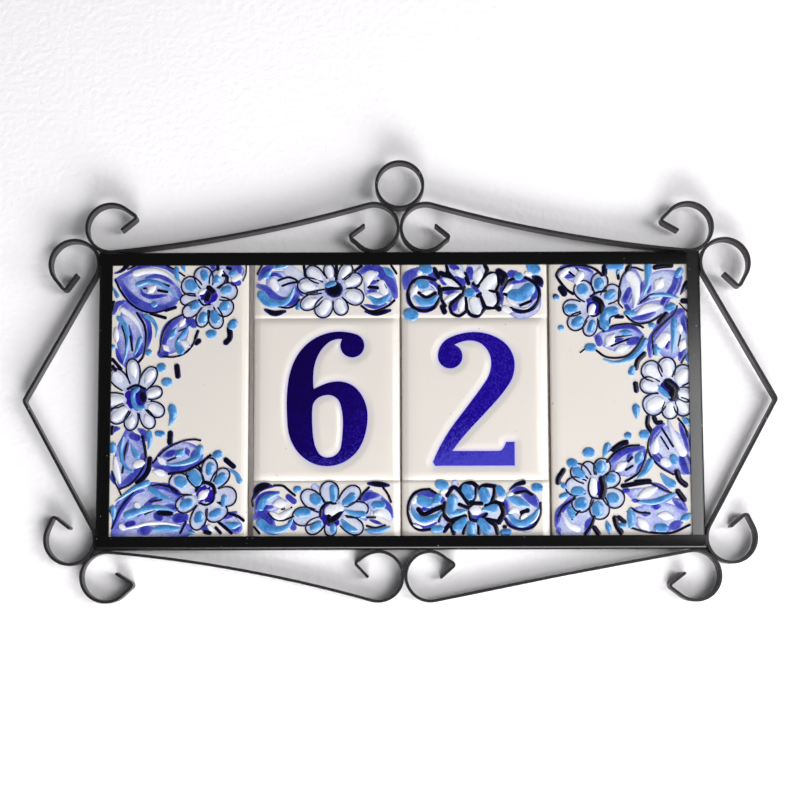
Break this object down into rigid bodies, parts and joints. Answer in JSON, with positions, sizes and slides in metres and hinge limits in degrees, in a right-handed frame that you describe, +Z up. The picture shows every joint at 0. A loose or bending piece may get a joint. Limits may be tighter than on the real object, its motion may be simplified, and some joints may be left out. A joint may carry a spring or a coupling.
{
  "type": "house number plaque",
  "caption": "House number plaque: glazed relief tiles with hand-painted blue flowers in a black angle-bar frame with welded strip scrolls and a hanging ring.",
  "frame": {"origin": "on the hanging ring's axis, in the plane of the wall that the back of the plaque touches", "axes": "+X to the right as seen from the front, -Y out of the front towards the viewer, +Z up"},
  "size_m": [0.3858, 0.01, 0.2282],
  "materials": {
    "black_paint": "satin black paint on steel",
    "glazed_tile": "off-white gloss glaze with cobalt and sky-blue enamel"
  },
  "bodies": {
    "root": {"frame_top_bar": "black_paint", "frame_bottom_bar": "black_paint", "frame_left_bar": "black_paint", "frame_right_bar": "black_paint", "top_scroll_left": "black_paint", "top_scroll_right": "black_paint", "bottom_scroll_left": "black_paint", "bottom_scroll_right": "black_paint", "side_scroll_left": "black_paint", "side_scroll_right": "black_paint", "hanging_ring": "black_paint", "border_tile_left": "glazed_tile", "number_tile_six": "glazed_tile", "number_tile_two": "glazed_tile", "border_tile_right": "glazed_tile"}
  },
  "joints": []
}
